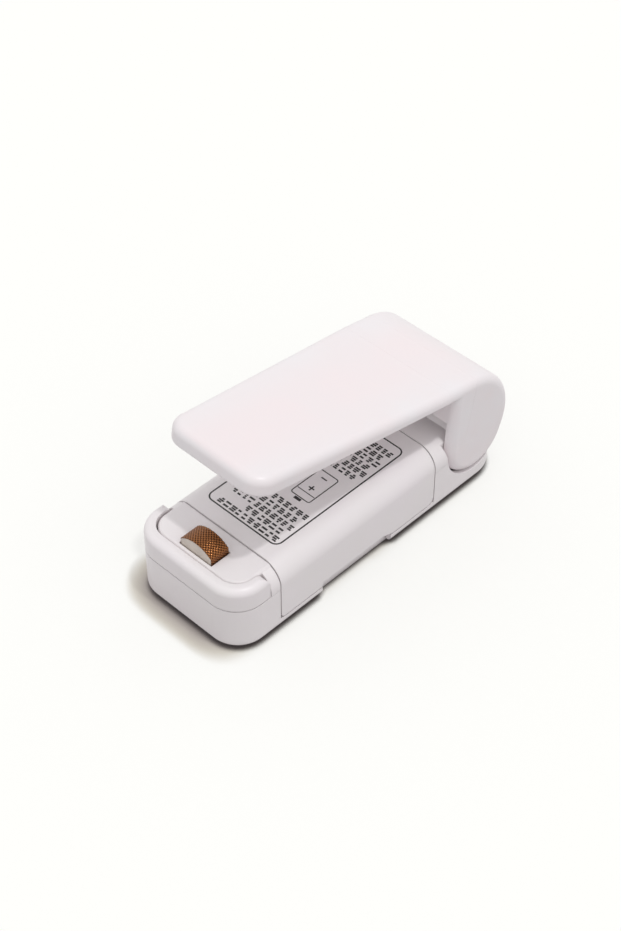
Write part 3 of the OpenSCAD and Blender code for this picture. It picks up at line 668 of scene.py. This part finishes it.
def makeReturnSpring(look):
    pinLow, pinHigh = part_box("hinge_pin")
    middle = (pinLow + pinHigh) / 2
    radius = look["radius"] * mm
    coil = []
    for i in range(int(look["turns"] * look["steps"]) + 1):
        t = i / look["steps"]
        a = math.radians(look["from"]) - 2 * math.pi * t
        x = look["pitch"] * (t - look["turnsLeft"]) * mm
        coil.append(Vector((x, middle.y + radius * math.cos(a), middle.z + radius * math.sin(a))))
    countIn = look["legInSteps"]
    countOut = look["legOutSteps"]
    legIn = [coil[0] + Vector(look["legIn"]) * mm * i / countIn for i in range(countIn, 0, -1)]
    legOut = [coil[-1] + Vector(look["legOut"]) * mm * i / countOut for i in range(1, countOut + 1)]
    mesh = tubeMesh("return_spring_wire", legIn + coil + legOut, look["wire"] / 2 * mm, look["sides"])
    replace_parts(newPiece("return_spring_wire", mesh, springSteel, "base"), "return_spring")


makeReturnSpring(returnSpring)
print("return spring wound")

# insulated leads, from the tab of a contact to the terminal beside the block
leadLook = {
    "diameter": 0.84,
    "steps": 36,
    "sides": 14,
    "black": ((0.015, 0.015, 0.017, 1), (0.026, 0.026, 0.028, 1)),  # tint and its clouding
    "red": ((0.42, 0.02, 0.02, 1), (0.34, 0.026, 0.022, 1)),
    "cloudScale": 400.0,
    "gloss": (0.32, 0.46),
    "grainDepth": 0.006,
    "tabSide": 7.6,  # from the middle plane to the contact's tab
    "tabGap": 0.52,
    "tabHeight": 11.0,
    "leave": (0.0, -0.6, 1.6),  # curve handle at the tab
    "endIn": 0.9,  # from the terminal's inner face
    "endGap": 0.1,
    "endRise": 1.2,
    "arrive": (0.0, 2.0, -0.3),  # curve handle at the terminal
}


def makeLead(node, contact, terminal, tints, look):
    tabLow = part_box(contact)[0]
    brassLow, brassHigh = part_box(terminal)
    side = 1 if brassLow.x > 0 else -1
    inner = brassLow.x if side > 0 else brassHigh.x
    start = Vector((side * look["tabSide"] * mm, tabLow.y - look["tabGap"] * mm, look["tabHeight"] * mm))
    endX = inner + side * look["endIn"] * mm
    end = Vector((endX, brassHigh.y + look["endGap"] * mm, brassLow.z + look["endRise"] * mm))
    ahead = start + Vector(look["leave"]) * mm
    into = end + Vector(look["arrive"]) * mm
    path = []
    for i in range(look["steps"] + 1):
        t = i / look["steps"]
        q = 1 - t
        path.append(start * q**3 + ahead * 3 * q * q * t + into * 3 * q * t * t + end * t**3)
    skin = dict(
        whiteLook, tint=tints[0], cloud=tints[1], cloudScale=look["cloudScale"], gloss=look["gloss"],
        creaseShadeAmount=0.0, grainDepth=look["grainDepth"], edge=0.0,
    )
    mesh = tubeMesh(node + "_wire", path, look["diameter"] / 2 * mm, look["sides"])
    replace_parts(newPiece(node + "_wire", mesh, mouldedPlastic(node + "Skin", skin), "base"), node)


makeLead("left_lead", "front_spring_contact", "left_terminal", leadLook["black"], leadLook)
makeLead("right_lead", "front_plate_contact", "right_terminal", leadLook["red"], leadLook)
print("leads run")

# release cloth: a coated glass weave over the block, both ends tucked down beside it
clothLook = {
    "pitch": 0.46,  # of the yarns
    "swell": 0.05,  # rise of a yarn over its neighbours
    "thick": 0.12,
    "perYarn": 6,  # steps of the mesh across a yarn
    "setIn": 0.1,  # of both sides, from the node's box
    "crownRise": 2.0,  # of the crown over the shoulders, as on the block
    "lift": 0.12,  # over the block's arch
    "crownDrop": 0.08,  # from the top of the node's box
    "overhang": (0.1, 0.14),  # at the front and at the rear
    "fray": 0.05,
    "seed": 7,
    "crest": (0.42, 0.17, 0.062, 1),
    # darkened as painted shade in the weave's hollows
    "pit": (0.055, 0.018, 0.007, 1),
    "gloss": (0.15, 0.4),  # of crests and pits
    "reliefDepth": 0.04,
    "reliefStrength": 0.8,
    "metallic": 0.85,
    "specular": 0.1,
}


def clothLine(half, foot, radius, centerZ, step):
    # side, crown and other side of the block as one line in X and Z, with its normals
    points = []
    shoulder = math.asin(half / radius)
    low = centerZ + radius * math.cos(shoulder)
    drop = max(2, int((low - foot) / step))
    for i in range(drop):
        points.append((-half, foot + (low - foot) * i / drop, -1.0, 0.0))
    count = int(2 * shoulder * radius / step)
    for i in range(count + 1):
        a = -shoulder + 2 * shoulder * i / count
        points.append((radius * math.sin(a), centerZ + radius * math.cos(a), math.sin(a), math.cos(a)))
    for i in range(drop):
        points.append((half, low + (foot - low) * (i + 1) / drop, 1.0, 0.0))
    return points


def clothMesh(look):
    low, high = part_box("release_cloth")
    blockLow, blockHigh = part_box("heater_block")
    half = (high.x - low.x) / 2 - look["setIn"] * mm
    rise = look["crownRise"] * mm
    blockHalf = (blockHigh.x - blockLow.x) / 2
    radius = (blockHalf**2 + rise**2) / (2 * rise) + look["lift"] * mm
    centerZ = high.z - look["crownDrop"] * mm - radius
    pitch = look["pitch"] * mm
    step = pitch / look["perYarn"]
    line = clothLine(half, low.z, radius, centerZ, step)
    last = len(line) - 1
    front = low.y - look["overhang"][0] * mm
    rear = high.y + look["overhang"][1] * mm
    rows = max(2, int((rear - front) / step))
    draw = random.Random(look["seed"])
    fray = [draw.uniform(-look["fray"], look["fray"]) * mm for _ in line]
    bm = bmesh.new()
    uv = bm.loops.layers.uv.new("weave")
    flat = {}  # each point's place on the flat cloth, in millimetres

    def sheet(offset, swell):
        # one face of the cloth, as columns of points
        columns = []
        run = 0.0
        for i, (x, z, nx, nz) in enumerate(line):
            if i:
                run += math.hypot(x - line[i - 1][0], z - line[i - 1][1])
            column = []
            for j in range(rows + 1):
                y = front + (rear - front) * j / rows
                if j in (0, rows):
                    y += fray[i]
                wave = math.sin(math.pi * run / pitch) * math.sin(math.pi * (y - front) / pitch)
                out = offset + swell * wave
                vert = bm.verts.new((x + nx * out, y, z + nz * out))
                flat[vert] = (run / mm, (y - front) / mm)
                column.append(vert)
            columns.append(column)
        return columns

    def quad(*corners):
        made = bm.faces.new(corners)
        made.smooth = True
        for loop in made.loops:
            loop[uv].uv = flat[loop.vert]

    top = sheet(0.0, look["swell"] * mm)
    under = sheet(-look["thick"] * mm, 0.0)
    for i in range(last):
        for j in range(rows):
            quad(top[i][j], top[i][j + 1], top[i + 1][j + 1], top[i + 1][j])
            quad(under[i + 1][j], under[i + 1][j + 1], under[i][j + 1], under[i][j])
    for j in range(rows):
        quad(top[0][j + 1], top[0][j], under[0][j], under[0][j + 1])
        quad(top[last][j], top[last][j + 1], under[last][j + 1], under[last][j])
    for i in range(last):
        quad(top[i][0], top[i + 1][0], under[i + 1][0], under[i][0])
        quad(top[i + 1][rows], top[i][rows], under[i][rows], under[i + 1][rows])
    return meshFrom(bm, "woven_cloth")


def clothSkin(look):
    material, tree, shader = newMaterial("releaseCloth")
    at = addNode(tree, "UVMap", {"uv_map": "weave"}).outputs[0]
    weave = placeGroup(tree, glassWeave, Vector=at, Pitch=look["pitch"], Crest=look["crest"], Pit=look["pit"])
    crestGloss, pitGloss = look["gloss"]
    tree.links.new(weave["Color"], shader.inputs["Base Color"])
    tree.links.new(remap(tree, weave["Mask"], target=(pitGloss, crestGloss)), shader.inputs["Roughness"])
    bumpInto(tree, shader, weave["Height"], look["reliefDepth"], look["reliefStrength"])
    shader.inputs["Metallic"].default_value = look["metallic"]
    shader.inputs["Specular IOR Level"].default_value = look["specular"]
    return material


cloth = newPiece("woven_cloth", clothMesh(clothLook), clothSkin(clothLook), "base")
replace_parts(cloth, "release_cloth")
print("release cloth laid")

# print on the cover: a thin frame, rows of plain dashes and a line drawing of the two cells
printLook = {
    "half": 12.5,
    "front": -29.8,
    "rear": 17.0,
    "corner": 2.0,
    "cornerSteps": 8,
    "line": 0.42,
    "ink": 0.02,  # thickness of the ink
    "sink": 0.002,  # into the cover
    # place along the cover and share of the width, for each row
    "rows": (
        (-28.1, 1.0), (-25.5, 0.6), (-22.9, 1.0), (-20.3, 0.94), (-17.7, 0.56),
        (0.9, 0.95), (3.4, 0.7), (5.9, 1.0), (8.4, 0.9), (10.9, 0.66), (13.4, 0.4),
    ),
    "margin": 1.3,
    "indent": 1.25,  # of every second row
    "mark": 1.8,  # height of a stack of dashes
    "dash": 0.5,
    "pairDash": 1.15,  # how much thicker the dashes of a pair are
    "widths": (1.2, 1.5, 1.6, 1.7, 1.8),
    "stacks": (2, 3, 3, 3),  # dashes to a stack
    "startShift": (0.0, 0.0, 0.15, 0.3),  # shares of the width
    "endShift": (0.0, 0.0, 0.0, 0.2),
    "gap": (0.4, 0.6),
    "seed": 11,
    "color": (0.012, 0.011, 0.012, 1),
    "worn": (0.03, 0.028, 0.028, 1),
    "wornScale": 900.0,
    "gloss": (0.4, 0.55),
    # each drawn cell: its outline, nub, ring and the signs for its ends, measured from its middle
    "cell": {
        "at": (4.6, -8.1),
        "half": (3.2, 5.5),
        "corner": 0.7,
        "cornerSteps": 4,
        "line": 0.3,
        "nubAt": 6.3,
        "nubHalf": 1.1,
        "nubLine": 0.9,
        "ringAt": 3.2,
        "ringHalf": 2.9,
        "ringLine": 0.25,
        "plusAt": 1.2,
        "minusAt": 3.4,
        "arm": 0.95,  # half length of a sign
        "bar": 0.2,  # half its thickness
    },
}


def roundedFrame(x0, y0, x1, y1, r, steps):
    points = []
    corners = ((x1 - r, y1 - r), (x0 + r, y1 - r), (x0 + r, y0 + r), (x1 - r, y0 + r))
    for quarter, (cx, cy) in enumerate(corners):
        for k in range(steps + 1):
            a = math.radians(90 * (quarter + k / steps))
            points.append((cx + r * math.cos(a), cy + r * math.sin(a)))
    return points


def makePrint(look):
    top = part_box("battery_cover")[1].z
    lower = top - look["sink"] * mm
    upper = top + look["ink"] * mm
    bm = bmesh.new()

    def patch(outline):
        # a flat patch of ink, from a closed outline in millimetres
        under = [bm.verts.new((x * mm, y * mm, lower)) for x, y in outline]
        over = [bm.verts.new((x * mm, y * mm, upper)) for x, y in outline]
        bridgeRings(bm, [under, over])

    def stroke(points, width, closed=False):
        # a line of even width, as one unbroken band
        count = len(points)
        rings = []
        for i, (x, y) in enumerate(points):
            a = points[(i - 1) % count] if closed or i else points[i]
            b = points[(i + 1) % count] if closed or i < count - 1 else points[i]
            along = Vector((b[0] - a[0], b[1] - a[1])).normalized()
            dx = -along.y * width / 2
            dy = along.x * width / 2
            corners = ((1, upper), (-1, upper), (-1, lower), (1, lower))
            rings.append([bm.verts.new(((x + s * dx) * mm, (y + s * dy) * mm, z)) for s, z in corners])
        bridgeRings(bm, rings, closed)

    def dash(x, y, reach, width):
        stroke([(x - reach, y), (x + reach, y)], width)

    half = look["half"]
    frameLine = roundedFrame(-half, look["front"], half, look["rear"], look["corner"], look["cornerSteps"])
    stroke(frameLine, look["line"], True)
    # rows of plain dashes, two or three to a stack
    edge = half - look["margin"]
    draw = random.Random(look["seed"])
    for k, (y, share) in enumerate(look["rows"]):
        x = edge - (look["indent"] if k % 2 else 0.0)
        end = max(x - 2 * edge * share, -edge)
        while True:
            wide = draw.choice(look["widths"])
            if x - wide < end:
                break
            lines = draw.choice(look["stacks"])
            thick = look["dash"] * (look["pairDash"] if lines == 2 else 1.0)
            for i in range(lines):
                level = y + (i / (lines - 1) - 0.5) * (look["mark"] - thick)
                left = x - wide + draw.choice(look["startShift"]) * wide
                right = x - draw.choice(look["endShift"]) * wide
                stroke([(left, level), (right, level)], thick)
            x -= wide + draw.uniform(*look["gap"])
    # two cells side by side, nubs opposite ways, with plain signs for the ends
    cell = look["cell"]
    halfX, halfY = cell["half"]
    arm = cell["arm"]
    bar = cell["bar"]
    halfPlus = [(bar, bar), (bar, arm), (-bar, arm), (-bar, bar), (-arm, bar), (-arm, -bar)]
    plus = halfPlus + [(-x, -y) for x, y in halfPlus]
    for side in (-1, 1):
        cx = cell["at"][0] * side
        cy = cell["at"][1]
        ends = (cx - halfX, cy - halfY, cx + halfX, cy + halfY)
        stroke(roundedFrame(*ends, cell["corner"], cell["cornerSteps"]), cell["line"], True)
        dash(cx, cy - cell["nubAt"] * side, cell["nubHalf"], cell["nubLine"])
        dash(cx, cy - cell["ringAt"] * side, cell["ringHalf"], cell["ringLine"])
        patch([(cx + x, cy - cell["plusAt"] * side + y) for x, y in plus])
        dash(cx, cy + cell["minusAt"] * side, arm, 2 * bar)
    skin = dict(
        whiteLook, tint=look["color"], cloud=look["worn"], cloudScale=look["wornScale"], gloss=look["gloss"],
        creaseShadeAmount=0.0, edge=0.0,
    )
    mesh = meshFrom(bm, "cover_print")
    newPiece("cover_print", mesh, mouldedPlastic("printInk", skin), "cover")


makePrint(printLook)
print("cover printed")

# floor: white to the eye, but it throws back less light than that, so that the sides stay in half shade
floorLook = {
    "size": 6000.0,
    "segments": 4,
    "under": 0.03,  # the part's underside
    "seen": (1.0, 1.0, 0.975, 1),
    "thrown": (0.37, 0.35, 0.355, 1),
    "shade": (0.66, 0.62, 0.55, 1),  # painted shadow, where the body hides the floor from one low side; no lamp shines from there
    "deep": (0.4, 0.355, 0.34, 1),  # the same painted shadow, darker close to the body
    # side of the painted shadow's light; no lamp stands there
    "toPaintedLight": (0.5, 0.75, 0.43),
    "castReach": 8.0,
    "castSamples": 24,
    "shadeLimits": (0.66, 0.88),  # share of the painted light's side left open, from painted shadow to none
    "deepLimits": (0.4, 0.66),
    "contact": (0.07, 0.06, 0.06, 1),  # painted contact shadow, right under the body's edge
    "contactReach": 2.6,
    "contactSamples": 12,
    "contactLimits": (0.46, 0.8),
    "glow": 0.5,  # share of the white that needs no light
    "unlit": (0, 0, 0, 1),
    "roughness": 0.9,
}


def floorSkin(look):
    material, tree, shader = newMaterial("paleFloor")
    paintedLightSide = addNode(tree, "CombineXYZ", None, **dict(zip("XYZ", look["toPaintedLight"]))).outputs[0]
    castReach = look["castReach"] * mm
    contactReach = look["contactReach"] * mm
    # painted shadows: the floor darkens where the body hides its sky, toward one side and right at the edge
    cast = addNode(
        tree, "AmbientOcclusion", {"samples": look["castSamples"]}, Distance=castReach, Normal=paintedLightSide
    ).outputs["AO"]
    near = addNode(
        tree, "AmbientOcclusion", {"samples": look["contactSamples"]}, Distance=contactReach
    ).outputs["AO"]
    color = mixColor(tree, remap(tree, cast, look["deepLimits"]), look["deep"], look["shade"])
    color = mixColor(tree, remap(tree, cast, look["shadeLimits"]), color, look["seen"])
    color = mixColor(tree, remap(tree, near, look["contactLimits"]), look["contact"], color)
    seen = seenRays(tree)
    lit = mixColor(tree, 1.0 - look["glow"], look["unlit"], color)
    tree.links.new(mixColor(tree, seen, look["thrown"], lit), shader.inputs["Base Color"])
    tree.links.new(mixColor(tree, seen, look["unlit"], color), shader.inputs["Emission Color"])
    shader.inputs["Emission Strength"].default_value = look["glow"]
    shader.inputs["Roughness"].default_value = look["roughness"]
    shader.inputs["Specular IOR Level"].default_value = 0.0
    return material


def makeFloor(look):
    bm = bmesh.new()
    half = look["size"] / 2 * mm
    bmesh.ops.create_grid(bm, x_segments=look["segments"], y_segments=look["segments"], size=half)
    mesh = bpy.data.meshes.new("studioFloor")
    bm.to_mesh(mesh)
    bm.free()
    floor = bpy.data.objects.new("studioFloor", mesh)
    floor.location.z = -look["under"] * mm
    scene.collection.objects.link(floor)
    mesh.materials.append(floorSkin(look))


makeFloor(floorLook)
print("floor laid")
